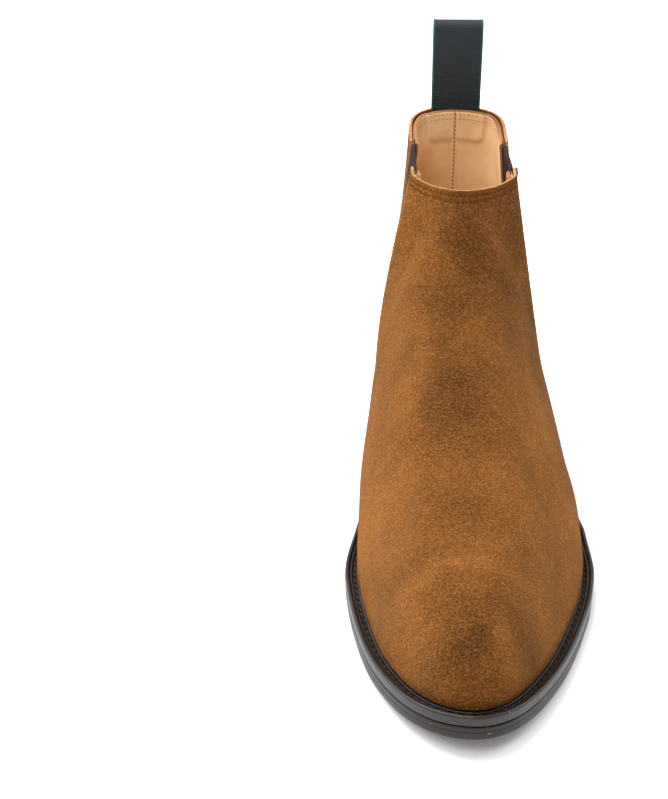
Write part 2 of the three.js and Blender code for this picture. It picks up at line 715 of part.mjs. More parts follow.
place('pull_tab', pullTab(), webbingCloth).position.set(0, TAB_AXIS_Y, TAB_AXIS_Z);

const group = new THREE.Group();
group.add(boot);
export default group;
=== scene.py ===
"""Looks of a suede chelsea boot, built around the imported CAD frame.

The fine surfaces follow the same shape as the CAD source. Shapes are worked out in millimetres
in boot coordinates: y runs back from the tip of the toe, x is measured from the line between
toe and heel, and to_row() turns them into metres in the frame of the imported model.
"""

import math

import bmesh
import bpy
import numpy as np
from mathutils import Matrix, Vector


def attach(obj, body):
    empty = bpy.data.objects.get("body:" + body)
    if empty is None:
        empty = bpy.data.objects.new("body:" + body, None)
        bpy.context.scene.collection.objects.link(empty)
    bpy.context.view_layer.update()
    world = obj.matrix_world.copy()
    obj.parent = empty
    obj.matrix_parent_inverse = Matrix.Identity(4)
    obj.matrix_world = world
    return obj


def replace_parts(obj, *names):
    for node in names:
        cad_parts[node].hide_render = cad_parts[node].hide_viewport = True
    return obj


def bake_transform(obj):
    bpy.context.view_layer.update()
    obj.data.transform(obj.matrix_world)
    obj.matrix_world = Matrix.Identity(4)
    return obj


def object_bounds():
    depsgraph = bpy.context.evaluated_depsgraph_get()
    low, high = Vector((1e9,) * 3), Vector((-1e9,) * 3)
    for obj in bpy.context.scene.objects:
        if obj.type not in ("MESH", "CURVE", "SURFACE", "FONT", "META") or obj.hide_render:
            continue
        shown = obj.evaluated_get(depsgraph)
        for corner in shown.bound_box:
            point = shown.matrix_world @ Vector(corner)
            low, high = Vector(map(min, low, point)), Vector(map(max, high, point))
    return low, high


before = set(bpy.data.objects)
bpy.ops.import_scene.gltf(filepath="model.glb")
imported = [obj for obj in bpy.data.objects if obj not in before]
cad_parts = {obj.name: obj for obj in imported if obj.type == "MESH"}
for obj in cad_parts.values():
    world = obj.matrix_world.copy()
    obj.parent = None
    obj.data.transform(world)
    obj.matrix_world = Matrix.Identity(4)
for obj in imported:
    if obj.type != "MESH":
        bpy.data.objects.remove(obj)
CAD_BOX = [list(corner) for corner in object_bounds()]

# ---------------------------------------------------------------- driving dimensions, mm

MM = 0.001
GAP = 0.3
SEAM = 0.32
LENGTH = 308
MEDIAL_REACH = 49.5
LATERAL_REACH = 58
MEDIAL_OUTLINE = [
    [0, 0], [6, 16.5], [15, 24.8], [28, 32], [48, 39.4], [68, 44], [93, 48],
    [111, MEDIAL_REACH], [145, 45.5], [185, 36], [218, 32.5], [255, 33.5], [285, 30.5],
    [300, 20], [LENGTH, 0],
]
LATERAL_OUTLINE = [
    [0, 0], [6, 14], [17, 23.4], [29, 30.5], [47, 39], [72, 48], [98, 55.2],
    [120, LATERAL_REACH], [145, 57.6], [160, 54.5], [190, 49.5], [225, 41], [260, 37],
    [285, 33], [300, 22], [LENGTH, 0],
]
TOE_SPRING = 7.7
TOE_SPRING_END = 85
WAIST_START = 135
HEEL_BREAST = 236
HEEL_RISE = 23
SEAT_RISE = 3
SOLE_EDGE = 10
OUTSOLE = 5.9
TOP_PIECE = 6
LIFT = 5
HEEL_TAPER = 0.9
HEEL_INSET = 1.2
WELT_STANDOUT = 5.5
WELT_INNER = 12
RIM_HEIGHT = 0.7
CHANNEL_INSET = 3.9
CHANNEL_WIDTH = 1.5
CHANNEL_DEPTH = 1.1
SUEDE = 1.8
STIFFENER = 0.8
LINING = 1.1
STIFFENER_DEPTH = SUEDE + 0.45
LINING_DEPTH = STIFFENER_DEPTH + STIFFENER + 0.35
LINING_SHUT = SUEDE + 0.2
STRIP = 1.4
RIDGE = [
    [5.5, 16.7], [7.5, 26.5], [12, 35.5], [20, 43], [32, 49], [60, 58], [100, 72],
    [140, 95.5], [160, 107.5], [175, 121.5], [188, 142], [195, 155.5], [198, 170],
    [201.5, 200], [207, 300],
]
HEEL_CURVE = [[30, 302], [58, 304.5], [100, 297.5], [165, 293.5]]
HEEL_ROUNDING = [[30, 40], [100, 36], [165, 15]]
HEEL_SHAPE = [[30, 2.2], [100, 2.3], [165, 3]]
HEEL_SIDES_END = 262
TOPLINE = [
    [190, 153.2], [198, 154.6], [209, 158.2], [216, 158.8], [245, 157.8], [280, 161.3], [294, 166.8],
]
LEG_HALF_WIDTH = {"medial": 25.6, "lateral": 26.9}
WALL_POWER = {"medial": 0.75, "lateral": 0.8}
INSTEP_BULGE = {"medial": 13.3, "lateral": 6.9}
BULGE_LIFT = {"medial": 0.64, "lateral": 0.4}
BULGE_AT = 177
BULGE_SPREAD = 68
ARCH_POWER = 2
ARCH_SHAPE = 2.3
GORE_BOTTOM = 64
SIDE_SEAM = [[20, 227], [GORE_BOTTOM, 224]]
GORE_FRONT = [[GORE_BOTTOM, 224], [69, 219.5], [85, 216], [110, 215], [160, 216]]
GORE_REAR = [[GORE_BOTTOM, 224], [69, 231], [85, 240], [110, 249], [160, 258]]
GORE_OVERLAP = 5
GORE_END = 58
INSOLE_INSET = 13.4
INSOLE_FLOOR = 4
INSOLE = 2.6
SOCK = 1
TAB_WIDTH = 24
TAB_HEIGHT = 42
TAB_PLY = 1.2
TAB_GAP = 6
TAB_AXIS_Y = 290.9
TAB_AXIS_Z = 170
BACK_SEAM = 0.012
LINING_SEAM = 0.002
STRIP_TURN = 0.115

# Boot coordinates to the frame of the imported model.
ORIGIN = np.array([(MEDIAL_REACH - LATERAL_REACH) / 2, -LENGTH / 2, 0])


def to_row(points):
    return (np.asarray(points, float) + ORIGIN) * MM


# ---------------------------------------------------------------- curves


def smooth(low, high, value):
    t = np.clip((value - low) / (high - low), 0, 1)
    return t * t * (3 - 2 * t)


def curve_through(points, warp=lambda s: s):
    """Smooth curve through a few points that never overshoots them."""
    at = warp(np.array([p[0] for p in points], float))
    value = np.array([p[1] for p in points], float)
    step = np.diff(at)
    rise = np.diff(value) / step
    slope = np.concatenate([rise[:1], np.zeros(len(at) - 2), rise[-1:]])
    for i in range(1, len(at) - 1):
        if rise[i - 1] * rise[i] > 0:
            before = 2 * step[i] + step[i - 1]
            after = step[i] + 2 * step[i - 1]
            slope[i] = (before + after) / (before / rise[i - 1] + after / rise[i])

    def curve(where):
        s = np.clip(warp(np.asarray(where, float)), at[0], at[-1])
        i = np.clip(np.searchsorted(at, s, side="left") - 1, 0, len(at) - 2)
        h = step[i]
        t = (s - at[i]) / h
        low = value[i] * (1 + 2 * t) * (1 - t) ** 2 + slope[i] * h * t * (1 - t) ** 2
        high = value[i + 1] * t * t * (3 - 2 * t) + slope[i + 1] * h * t * t * (t - 1)
        return low + high

    return curve


def round_ends(y):
    return np.arccos(np.clip(1 - 2 * np.asarray(y, float) / LENGTH, -1, 1))


outline_width = {
    "medial": curve_through(MEDIAL_OUTLINE, round_ends),
    "lateral": curve_through(LATERAL_OUTLINE, round_ends),
}
ridge_height = curve_through(RIDGE)
heel_curve = curve_through(HEEL_CURVE)
heel_rounding = curve_through(HEEL_ROUNDING)
heel_shape = curve_through(HEEL_SHAPE)
topline_height = curve_through(TOPLINE)
side_seam = curve_through(SIDE_SEAM)
gore_front = curve_through(GORE_FRONT)
gore_rear = curve_through(GORE_REAR)


def vamp_rear(z):
    return np.where(z < GORE_BOTTOM, side_seam(z), gore_front(z))


def quarter_front(z):
    return np.where(z < GORE_BOTTOM, side_seam(z), gore_rear(z))


def sole_bottom(y):
    spring = TOE_SPRING * np.maximum(0, 1 - y / TOE_SPRING_END) ** 2
    seat = np.clip((y - HEEL_BREAST) / (LENGTH - HEEL_BREAST), 0, 1)
    return spring + HEEL_RISE * smooth(WAIST_START, HEEL_BREAST, y) + SEAT_RISE * seat


def feather_line(y):
    return sole_bottom(y) + SOLE_EDGE


def outline_point(turn, inset=0.0):
    """Point of the sole's outline at a turn (toe 0, heel half a turn), moved inwards."""

    def place(t):
        y = LENGTH * (1 - np.cos(t)) / 2
        x = np.where(np.sin(t) >= 0, -outline_width["medial"](y), outline_width["lateral"](y))
        return np.stack([x, y], -1)

    turn = np.asarray(turn, float)
    along = place(turn + 0.01) - place(turn - 0.01)
    along /= np.linalg.norm(along, axis=-1, keepdims=True)
    inward = np.stack([along[..., 1], -along[..., 0]], -1)
    return place(turn) + inward * np.asarray(inset, float)[..., None]


def outline_grid(turns, insets, heights):
    """Rings of points along the outline: one for each inset and height function."""
    rings = []
    for inset, height in zip(insets, heights):
        p = outline_point(turns, np.full(len(turns), float(inset)))
        rings.append(np.column_stack([p, height(p[:, 1])]))
    return np.array(rings)


def above_sole(height):
    return lambda y: sole_bottom(y) + height


def above_feather(height):
    return lambda y: feather_line(y) + height


# ---------------------------------------------------------------- shape of the upper


def feather_curve(sign):
    edge = outline_point(sign * np.linspace(0, math.pi, 241), np.full(241, WELT_STANDOUT))
    y = np.maximum.accumulate(edge[:, 1])
    return lambda where: np.interp(where, y, np.abs(edge[:, 0]))


feather_width = {"medial": feather_curve(1), "lateral": feather_curve(-1)}


def half_width(side, y, z):
    feather = feather_width[side](np.minimum(y, HEEL_SIDES_END))
    floor = feather_line(y)
    v = np.clip((z - floor) / (topline_height(y) - floor), 0, 1)
    spread = np.exp(-(((y - BULGE_AT) / BULGE_SPREAD) ** 2))
    lean = v ** WALL_POWER[side]
    wall = feather * (1 - lean) + LEG_HALF_WIDTH[side] * lean
    wall = wall + INSTEP_BULGE[side] * np.sin(math.pi * v ** BULGE_LIFT[side]) * spread
    up = np.clip((z - floor) / np.maximum(ridge_height(y) - floor, 0.01), 0, 1)
    arch = (1 - up**ARCH_POWER) ** (1 / ARCH_SHAPE)
    rear = np.clip((y - heel_curve(z)) / heel_rounding(z) + 1, 0, 1)
    return wall * arch * np.sqrt(1 - rear ** heel_shape(z))


def level_at(v, y):
    return feather_line(y) + v * (topline_height(y) - feather_line(y))


def level_of_height(z, y):
    return np.clip((z - feather_line(y)) / (topline_height(y) - feather_line(y)), 0, 1)


def bisect(test, low, high, shape):
    low = np.full(shape, float(low))
    high = np.full(shape, float(high))
    for _ in range(40):
        middle = (low + high) / 2
        beyond = test(middle)
        high = np.where(beyond, middle, high)
        low = np.where(beyond, low, middle)
    return (low + high) / 2


def ring_ends(v):
    """Where the ring at level v meets the ridge in front and the heel curve behind."""
    v = np.asarray(v, float)
    front = bisect(lambda y: ridge_height(y) > level_at(v, y), WELT_STANDOUT, 210, v.shape)
    back = bisect(lambda y: y > heel_curve(level_at(v, y)), 250, LENGTH, v.shape)
    return np.where(v <= 0, WELT_STANDOUT, front), back


def face_point(phi, v):
    """Point of the outer face: phi 0 is the front, half a turn either way is the back."""
    phi, v = np.broadcast_arrays(np.asarray(phi, float), np.asarray(v, float))
    front, back = ring_ends(v)
    y = front + (back - front) * (1 - np.cos(phi)) / 2
    z = level_at(v, y)
    lateral = np.sin(phi) >= 0
    width = np.where(lateral, half_width("lateral", y, z), half_width("medial", y, z))
    return np.stack([np.where(lateral, width, -width), y, z], -1)


def outward(phi, v):
    around = face_point(phi + 0.02, v) - face_point(phi - 0.02, v)
    upwards = face_point(phi, np.minimum(v + 0.01, 1)) - face_point(phi, np.maximum(v - 0.01, 0))
    normal = np.cross(around, upwards)
    return normal / np.maximum(np.linalg.norm(normal, axis=-1, keepdims=True), 1e-9)


def skin(phi, v, depth):
    """The outer face moved inwards along its normal."""
    depth = np.asarray(depth, float)
    return face_point(phi, v) - outward(phi, v) * depth[..., None]


def seam_turn(v, seam, shift=0.0):
    """Turn at which the ring at level v crosses a seam given by distance against height."""
    front, back = ring_ends(v)
    y = seam(level_at(v, 220.0)) + shift
    for _ in range(4):
        y = seam(level_at(v, y)) + shift
    return np.arccos(np.clip(1 - 2 * (y - front) / (back - front), -1, 1))


def even_levels(count, low=0.0, high=1.0):
    """Levels spaced evenly along the front profile."""
    samples = np.linspace(0, 1, 401)
    front = face_point(np.zeros_like(samples), samples)
    travelled = np.concatenate([[0], np.cumsum(np.linalg.norm(np.diff(front, axis=0), axis=1))])
    ends = np.interp([low, high], samples, travelled)
    return np.interp(np.linspace(ends[0], ends[1], count), travelled, samples)


# ---------------------------------------------------------------- meshes


def grid_faces(rows, cols, wrap_rows=False, wrap_cols=False):
    r = np.arange(rows if wrap_rows else rows - 1)[:, None]
    c = np.arange(cols if wrap_cols else cols - 1)[None, :]
    r2 = (r + 1) % rows
    c2 = (c + 1) % cols
    quads = [r * cols + c, r * cols + c2, r2 * cols + c2, r2 * cols + c]
    return np.stack([np.broadcast_to(q, (r.shape[0], c.shape[1])) for q in quads], -1)


def piece(name, points, faces, materials, slot, marked=None, attributes=None, sharp=45):
    """New smooth closed mesh. Faces in marked take the second material."""
    mesh = bpy.data.meshes.new(name)
    mesh.from_pydata(to_row(points).tolist(), [], [list(map(int, f)) for f in faces])
    obj = bpy.data.objects.new(name, mesh)
    bpy.context.scene.collection.objects.link(obj)
    for material in materials:
        mesh.materials.append(material)
    if marked is not None:
        mesh.polygons.foreach_set("material_index", np.asarray(marked, np.int32))
    for key, values in (attributes or {}).items():
        layer = mesh.attributes.new(key, "FLOAT", "POINT")
        layer.data.foreach_set("value", np.asarray(values, np.float32))
    tidy = bmesh.new()
    tidy.from_mesh(mesh)
    bmesh.ops.recalc_face_normals(tidy, faces=tidy.faces)
    tidy.to_mesh(mesh)
    tidy.free()
    mesh.polygons.foreach_set("use_smooth", np.ones(len(mesh.polygons), bool))
    mesh.set_sharp_from_angle(angle=math.radians(sharp))
    mesh.update()
    return obj


def rounded(corners, radius, steps=3):
    """Closed polygon with its corners rounded off."""
    corners = np.array(corners, float)
    points = []
    for before, corner, after in zip(np.roll(corners, 1, 0), corners, np.roll(corners, -1, 0)):
        into = before - corner
        away = after - corner
        reach = min(radius, 0.45 * np.linalg.norm(into), 0.45 * np.linalg.norm(away))
        start = corner + into / np.linalg.norm(into) * reach
        end = corner + away / np.linalg.norm(away) * reach
        for t in np.linspace(0, 1, steps + 1):
            points.append((1 - t) ** 2 * start + 2 * t * (1 - t) * corner + t * t * end)
    return np.array(points)


def stack(rings):
    """Solid from rings stacked bottom to top, with flat strips across both ends."""
    rows, n = rings.shape[:2]
    faces = grid_faces(rows, n, wrap_cols=True).reshape(-1, 4).tolist()
    for start in (0, (rows - 1) * n):
        faces.append([start, start + 1, start + n - 1])
        for i in range(1, n // 2 - 1):
            faces.append([start + i, start + i + 1, start + n - i - 1, start + n - i])
        faces.append([start + n // 2 - 1, start + n // 2, start + n // 2 + 1])
    return rings.reshape(-1, 3), faces


def prism(rings):
    """Solid from rings stacked bottom to top, with a flat face across each end."""
    rows, n = rings.shape[:2]
    faces = grid_faces(rows, n, wrap_cols=True).reshape(-1, 4).tolist()
    faces.append(list(range(n)))
    faces.append(list(range((rows - 1) * n, rows * n)))
    return rings.reshape(-1, 3), faces


LEG_HEIGHT = 125  # feather line to topline, for turning a small distance into a level
EDGE_STEPS = 6


def wrapped(levels, span, columns, outer, inner, drop=None):
    """A layer of the upper in closed sections: up outside, round the top edge, down inside.

    span gives the first and last turn at each level, outer and inner give the depths of the
    faces at each level and share of the span, and drop says how far the top edge lies below
    its level at each share. Returns points, faces and which faces are a cut edge.
    """
    middle = np.array([[0.5]])
    top = levels[-1:, None]
    half = float((inner(top, middle) - outer(top, middle))[0, 0]) / 2
    reach = half / LEG_HEIGHT
    face = levels[:-1]
    bend = np.linspace(0, math.pi, EDGE_STEPS + 2)[1:-1]
    loop_v = np.concatenate([face, levels[-1] - reach + reach * np.sin(bend), face[::-1]])
    mix = np.concatenate([np.zeros(len(face)), (1 - np.cos(bend)) / 2, np.ones(len(face))])
    share = columns[None, :]
    v = np.broadcast_to(loop_v[:, None], (len(loop_v), len(columns)))
    if drop is not None:
        v = v - drop(share) * smooth(0.8, 1, v)
    first, last = span(v)
    phi = first + (last - first) * share
    depth = outer(v, share) * (1 - mix[:, None]) + inner(v, share) * mix[:, None]
    k, n = phi.shape
    sides = grid_faces(k, n, wrap_rows=True)
    faces = sides.reshape(-1, 4).tolist()
    cut = np.zeros(sides.shape[:2], int)
    cut[len(face) : len(face) + EDGE_STEPS - 1, :] = 1
    cut[-1, :] = 1
    marks = cut.reshape(-1).tolist()
    for column in (0, n - 1):
        for i in range(k // 2 - 1):
            corners = [i, i + 1, k - 2 - i, k - 1 - i]
            faces.append([c * n + column for c in corners])
            marks.append(1)
    return skin(phi, v, depth).reshape(-1, 3), faces, marks


def even(depth):
    return lambda v, share: np.full(np.broadcast_shapes(np.shape(v), np.shape(share)), float(depth))


def copy_of(node, name, material):
    """Shown copy of a hidden CAD node, with a material of its own."""
    obj = bpy.data.objects.new(name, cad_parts[node].data.copy())
    bpy.context.scene.collection.objects.link(obj)
    obj.data.materials.clear()
    obj.data.materials.append(material)
    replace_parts(obj, node)
    return obj


def fixed(obj, *nodes, body="foot_and_front"):
    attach(obj, body)
    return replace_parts(obj, *nodes) if nodes else obj


def yielding(obj, *nodes):
    """Bakes the piece's place into its mesh and hides the CAD nodes it replaces."""
    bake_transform(obj)
    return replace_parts(obj, *nodes) if nodes else obj


# ---------------------------------------------------------------- stitches

STITCH_SIDES = 6
STITCH_RINGS = 5


def stitch(centre, along, normal, length, radius):
    """One stitch: a short round thread whose ends dip into the leather."""
    across = np.cross(along, normal)
    points = []
    for u in np.linspace(-0.97, 0.97, STITCH_RINGS):
        r = radius * math.sqrt(1 - u * u * 0.85)
        middle = centre + along * u * length / 2 + normal * radius * (0.55 - 1.3 * u * u)
        for a in np.linspace(0, 2 * math.pi, STITCH_SIDES, endpoint=False):
            points.append(middle + across * r * math.cos(a) + normal * r * math.sin(a))
    return points


def stitch_row(path, normals, pitch, length, radius, slant=0.0):
    """Evenly spaced stitches along a path, each turned by slant about the surface normal."""
    steps = np.linalg.norm(np.diff(path, axis=0), axis=1)
    travelled = np.concatenate([[0], np.cumsum(steps)])
    count = max(int(travelled[-1] / pitch), 1)
    places = (np.arange(count) + 0.5) * travelled[-1] / count

    def sample(values, s):
        return np.array([np.interp(s, travelled, values[:, k]) for k in range(3)])

    points = []
    for s in places:
        centre = sample(path, s)
        normal = sample(normals, s)
        normal /= np.linalg.norm(normal)
        along = sample(path, min(s + 0.4, travelled[-1])) - sample(path, max(s - 0.4, 0))
        along -= normal * along.dot(normal)
        along /= np.linalg.norm(along)
        turned = along * math.cos(slant) + np.cross(normal, along) * math.sin(slant)
        points.extend(stitch(centre, turned, normal, length, radius))
    return np.array(points)


def stitching(name, rows, material, slot):
    """Rows of stitches joined in one piece."""
    points = np.concatenate(rows)
    each = STITCH_SIDES * STITCH_RINGS
    body = grid_faces(STITCH_RINGS, STITCH_SIDES, wrap_cols=True).reshape(-1, 4)
    faces = []
    for start in range(0, len(points), each):
        faces.extend((body + start).tolist())
        faces.append(list(range(start, start + STITCH_SIDES)))
        faces.append(list(range(start + each - STITCH_SIDES, start + each)))
    return piece(name, points, faces, [material], slot, sharp=80)


def on_skin(phi, v, depth, pitch, length, radius, slant=0.0, inside=False):
    """Row of stitches on the outer face, or on the lining when inside is true."""
    normals = outward(phi, v) * (-1 if inside else 1)
    path = skin(phi, v, np.full(np.shape(phi), float(depth)))
    return stitch_row(path, normals, pitch, length, radius, slant)


# ---------------------------------------------------------------- material helpers


def srgb(red, green, blue):
    """Screen colour, 0 to 255, as the linear colour that shaders use."""
    parts = [c / 255 for c in (red, green, blue)]
    return tuple(c / 12.92 if c <= 0.04045 else ((c + 0.055) / 1.055) ** 2.4 for c in parts) + (1,)


class Paint:
    """One material's node tree, with short calls for the nodes that recur."""

    def __init__(self, name, settings):
        self.material = bpy.data.materials.new(name)
        self.material.use_nodes = True
        self.tree = self.material.node_tree
        self.shader = self.tree.nodes["Principled BSDF"]
        for socket, value in settings.items():
            self.shader.inputs[socket].default_value = value
        self.place = self.node("ShaderNodeTexCoord").outputs["Object"]

    def node(self, kind, inputs=None, **settings):
        made = self.tree.nodes.new(kind)
        for key, value in settings.items():
            setattr(made, key, value)
        for socket, value in (inputs or {}).items():
            if isinstance(value, bpy.types.NodeSocket):
                self.tree.links.new(value, made.inputs[socket])
            else:
                made.inputs[socket].default_value = value
        return made

    def noise(self, size, detail=3.0, rough=0.5, distort=0.0, place=None):
        """Noise whose features are about size metres across."""
        inputs = {
            "Vector": place or self.place, "Scale": 1 / size, "Detail": detail,
            "Roughness": rough, "Distortion": distort,
        }
        return self.node("ShaderNodeTexNoise", inputs).outputs["Fac"]

    def math(self, operation, a, b=0.0):
        return self.node("ShaderNodeMath", {0: a, 1: b}, operation=operation).outputs[0]

    def between(self, value, low, high):
        """Rises from 0 to 1 as value goes from low to high."""
        inputs = {"Value": value, "From Min": low, "From Max": high}
        return self.node("ShaderNodeMapRange", inputs, clamp=True).outputs["Result"]

    def attribute(self, name):
        return self.node("ShaderNodeAttribute", attribute_name=name).outputs["Fac"]

    def mix(self, share, a, b, how="MIX"):
        inputs = {0: share, 6: a, 7: b}
        made = self.node("ShaderNodeMix", inputs, data_type="RGBA", blend_type=how)
        return made.outputs[2]

    def stretched(self, x, y, z):
        """Coordinates that make the features longer along the axes with small numbers."""
        inputs = {"Vector": self.place, "Scale": (x, y, z)}
        return self.node("ShaderNodeMapping", inputs).outputs["Vector"]

    def bump(self, height, depth, strength=1.0, under=None):
        inputs = {"Height": height, "Distance": depth, "Strength": strength}
        if under is not None:
            inputs["Normal"] = under
        return self.node("ShaderNodeBump", inputs).outputs["Normal"]

    def finish(self, colour=None, roughness=None, normal=None):
        for socket, value in (("Base Color", colour), ("Roughness", roughness), ("Normal", normal)):
            if value is not None:
                self.tree.links.new(value, self.shader.inputs[socket])
        return self.material


# ---------------------------------------------------------------- materials


def suede():
    """Brushed suede: curly fuzz under a millimetre across over broad tone of the nap, with broad
    painted shade and painted highlight from the spot table.
    """
    paint = Paint("suede", {
        "Roughness": 1.0, "Specular IOR Level": 0.06, "Sheen Weight": 0.16,
        "Sheen Roughness": 0.5, "Sheen Tint": srgb(232, 170, 104),
    })
    curls = paint.noise(0.0009, 2, 0.5, 0.4)
    fibres = paint.noise(0.00045, 2, 0.5, 0.3)
    tufts = paint.noise(0.006, 2, 0.5, 0.4)
    brushed = paint.noise(0.03, 2, 0.45, 0.5)
    # painted shade and painted highlight from the spot table, added to the brushed tone of the nap
    nap_tone_and_painted_shade = paint.math("ADD", paint.between(brushed, 0.25, 0.75), paint.attribute("painted_shade_and_nap"))
    colour = paint.mix(paint.between(nap_tone_and_painted_shade, -1.0, 1.6), srgb(44, 25, 10), srgb(152, 98, 46))
    clumps = paint.mix(paint.between(tufts, 0.3, 0.7), srgb(238, 234, 230), srgb(255, 255, 255))
    colour = paint.mix(1.0, colour, clumps, "MULTIPLY")
    fuzz = paint.math("ADD", curls, paint.math("MULTIPLY", fibres, 0.6))
    shade = paint.mix(paint.between(fuzz, 0.56, 0.96), srgb(190, 180, 170), srgb(255, 255, 255))
    colour = paint.mix(1.0, colour, shade, "MULTIPLY")
    tips = paint.math("MULTIPLY", paint.between(fuzz, 0.82, 1.05), 0.16)
    colour = paint.mix(tips, colour, srgb(196, 136, 76))
    under = paint.bump(tufts, 0.0006, 0.3)
    under = paint.bump(curls, 0.0013, 0.6, under)
    return paint.finish(colour, None, paint.bump(fibres, 0.0006, 0.5, under))


def suede_edge():
    """Cut edge of the suede: pale, layered and a little ragged."""
    paint = Paint("suede_edge", {"Roughness": 0.85, "Specular IOR Level": 0.2})
    layers = paint.noise(0.0008, 3, 0.6, 0.4, paint.stretched(0.4, 0.4, 2.0))
    colour = paint.mix(paint.between(layers, 0.3, 0.7), srgb(136, 90, 50), srgb(196, 144, 94))
    return paint.finish(colour, None, paint.bump(layers, 0.0003, 0.7))


def leather(name, dark, light, roughness, pore):
    """Smooth leather with fine pores, faint clouds and shallow wrinkles."""
    paint = Paint(name, {"Specular IOR Level": 0.35, "Sheen Weight": 0.08})
    pores = paint.noise(pore, 4, 0.6)
    clouds = paint.noise(0.014, 3, 0.5, 0.4)
    wrinkles = paint.noise(0.0035, 3, 0.55, 1.2, paint.stretched(1, 1, 0.6))
    colour = paint.mix(paint.between(clouds, 0.3, 0.7), dark, light)
    colour = paint.mix(paint.math("MULTIPLY", paint.between(pores, 0.6, 0.8), 0.35), colour, dark)
    rough = paint.node("ShaderNodeMapRange", {
        "Value": pores, "To Min": roughness - 0.08, "To Max": roughness + 0.12,
    }).outputs["Result"]
    under = paint.bump(wrinkles, 0.0003, 0.25)
    return paint.finish(colour, rough, paint.bump(pores, 0.00015, 0.5, under))


def elastic():
    """Ribbed elastic: covered rubber threads with a faint sheen."""
    paint = Paint("elastic", {
        "Roughness": 0.75, "Specular IOR Level": 0.12, "Sheen Weight": 0.04,
        "Sheen Roughness": 0.4, "Sheen Tint": srgb(150, 120, 140),
    })
    along = paint.node("ShaderNodeSeparateXYZ", {0: paint.place}).outputs[2]
    waves = paint.math("SINE", paint.math("MULTIPLY", along, 2 * math.pi / 0.0007))
    fuzz = paint.noise(0.0006, 3, 0.6)
    weave = paint.math("ADD", paint.math("MULTIPLY", waves, 0.3), fuzz)
    colour = paint.mix(paint.between(weave, 0.1, 0.9), srgb(26, 17, 15), srgb(50, 35, 33))
    return paint.finish(colour, None, paint.bump(weave, 0.0002, 0.6))


def webbing():
    """Charcoal twill webbing with a thin green stripe along each edge."""
    paint = Paint("webbing", {
        "Roughness": 0.7, "Specular IOR Level": 0.3, "Sheen Weight": 0.12,
        "Sheen Roughness": 0.35, "Sheen Tint": srgb(150, 165, 180),
    })
    across = paint.attribute("across")
    along = paint.attribute("along")
    turn = 2 * math.pi
    twill = paint.math("SINE", paint.math("MULTIPLY", paint.math("ADD", across, along), turn / 0.9))
    cords = paint.math("SINE", paint.math("MULTIPLY", along, turn / 0.62))
    weave = paint.math("ADD", paint.math("MULTIPLY", twill, 0.5), paint.math("MULTIPLY", cords, 0.5))
    fuzz = paint.noise(0.0005, 3, 0.6)
    weave = paint.math("ADD", weave, paint.math("MULTIPLY", fuzz, 0.6))
    dark = paint.mix(paint.between(weave, -0.6, 1.2), srgb(24, 28, 30), srgb(46, 52, 56))
    edge = paint.math("ABSOLUTE", across)
    stripe = paint.between(edge, 11.0, 11.25)
    colour = paint.mix(stripe, dark, srgb(24, 78, 70))
    return paint.finish(colour, None, paint.bump(weave, 0.00025, 0.7))


def rubber(name, dark, light, roughness):
    """Moulded rubber, dull on top of a faint mottle, with dust in its pits."""
    paint = Paint(name, {"Specular IOR Level": 0.5})
    mottle = paint.noise(0.006, 4, 0.6, 0.5)
    grain = paint.noise(0.0007, 3, 0.6)
    specks = paint.noise(0.0022, 1, 0.5)
    colour = paint.mix(paint.between(mottle, 0.3, 0.75), dark, light)
    dust = paint.between(specks, 0.74, 0.78)
    colour = paint.mix(paint.math("MULTIPLY", dust, 0.6), colour, srgb(126, 92, 62))
    rough = paint.node("ShaderNodeMapRange", {
        "Value": mottle, "To Min": roughness - 0.1, "To Max": roughness + 0.15,
    }).outputs["Result"]
    return paint.finish(colour, rough, paint.bump(grain, 0.00012, 0.5))


def sole_edge():
    """Outsole rubber, painted a little paler along its bottom edge as a highlight."""
    paint = Paint("sole_rubber", {"Specular IOR Level": 0.35})
    mottle = paint.noise(0.006, 4, 0.6, 0.5)
    grain = paint.noise(0.0007, 3, 0.6)
    rise = paint.attribute("rise")
    colour = paint.mix(paint.between(mottle, 0.3, 0.75), srgb(17, 10, 7), srgb(30, 21, 16))
    # painted highlight: paler towards the bottom edge of the sole
    colour = paint.mix(paint.between(rise, 1.1, 0.6), colour, srgb(54, 42, 34))
    specks = paint.between(paint.noise(0.002, 1, 0.5), 0.745, 0.78)
    colour = paint.mix(paint.math("MULTIPLY", specks, 0.7), colour, srgb(150, 110, 74))
    rough = paint.node("ShaderNodeMapRange", {
        "Value": mottle, "To Min": 0.34, "To Max": 0.56,
    }).outputs["Result"]
    return paint.finish(colour, rough, paint.bump(grain, 0.00015, 0.5))


def stacked_leather():
    """Edge of the heel lifts: pressed leather, burnished dark, with fine level lines."""
    paint = Paint("stacked_leather", {"Specular IOR Level": 0.45})
    lines = paint.noise(0.0009, 4, 0.6, 0.2, paint.stretched(0.06, 0.06, 1.0))
    colour = paint.mix(paint.between(lines, 0.3, 0.7), srgb(40, 28, 22), srgb(66, 48, 38))
    rough = paint.node("ShaderNodeMapRange", {
        "Value": lines, "To Min": 0.38, "To Max": 0.58,
    }).outputs["Result"]
    return paint.finish(colour, rough, paint.bump(lines, 0.00015, 0.5))


def thread(name, dark, light):
    """Waxed thread: two plies twisted together."""
    paint = Paint(name, {"Roughness": 0.9, "Specular IOR Level": 0.1})
    ply = paint.node("ShaderNodeTexWave", {
        "Vector": paint.place, "Scale": 900.0, "Distortion": 2.0, "Detail": 2.0,
    }, bands_direction="DIAGONAL").outputs["Fac"]
    colour = paint.mix(ply, dark, light)
    return paint.finish(colour, None, paint.bump(ply, 0.00012, 0.6))


